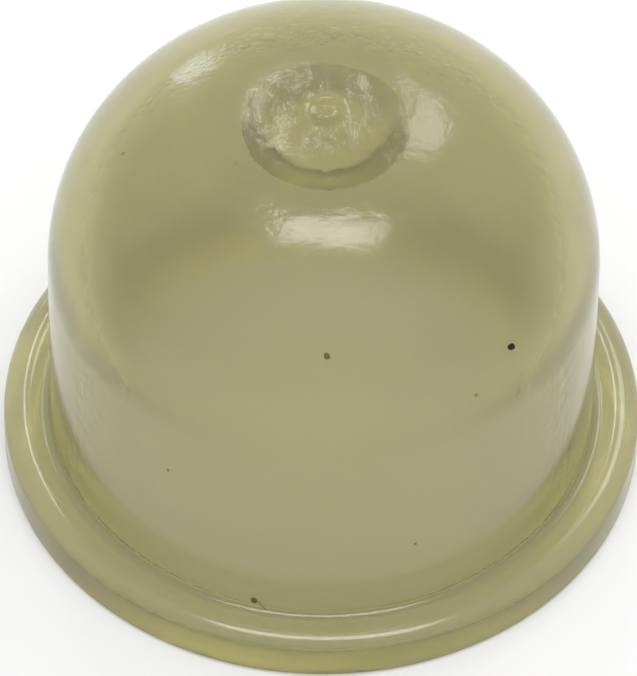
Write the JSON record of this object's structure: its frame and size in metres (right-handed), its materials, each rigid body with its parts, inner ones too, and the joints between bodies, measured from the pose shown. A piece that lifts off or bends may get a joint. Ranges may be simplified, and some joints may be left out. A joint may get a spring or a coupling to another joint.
{
  "type": "primer bulb",
  "caption": "Soft translucent dome, open underneath, with a beaded round flange at its foot; pressed by the thumb to draw fuel into a small carburettor.",
  "frame": {"origin": "centre of the flat underside of the flange", "axes": "+Z along the dome's axis, from the open underside to the crown"},
  "size_m": [0.022, 0.022, 0.0166],
  "materials": {
    "yellowed_polyurethane": "moulded, translucent, yellowed"
  },
  "bodies": {
    "root": {"primer_bulb": "yellowed_polyurethane"}
  },
  "joints": []
}
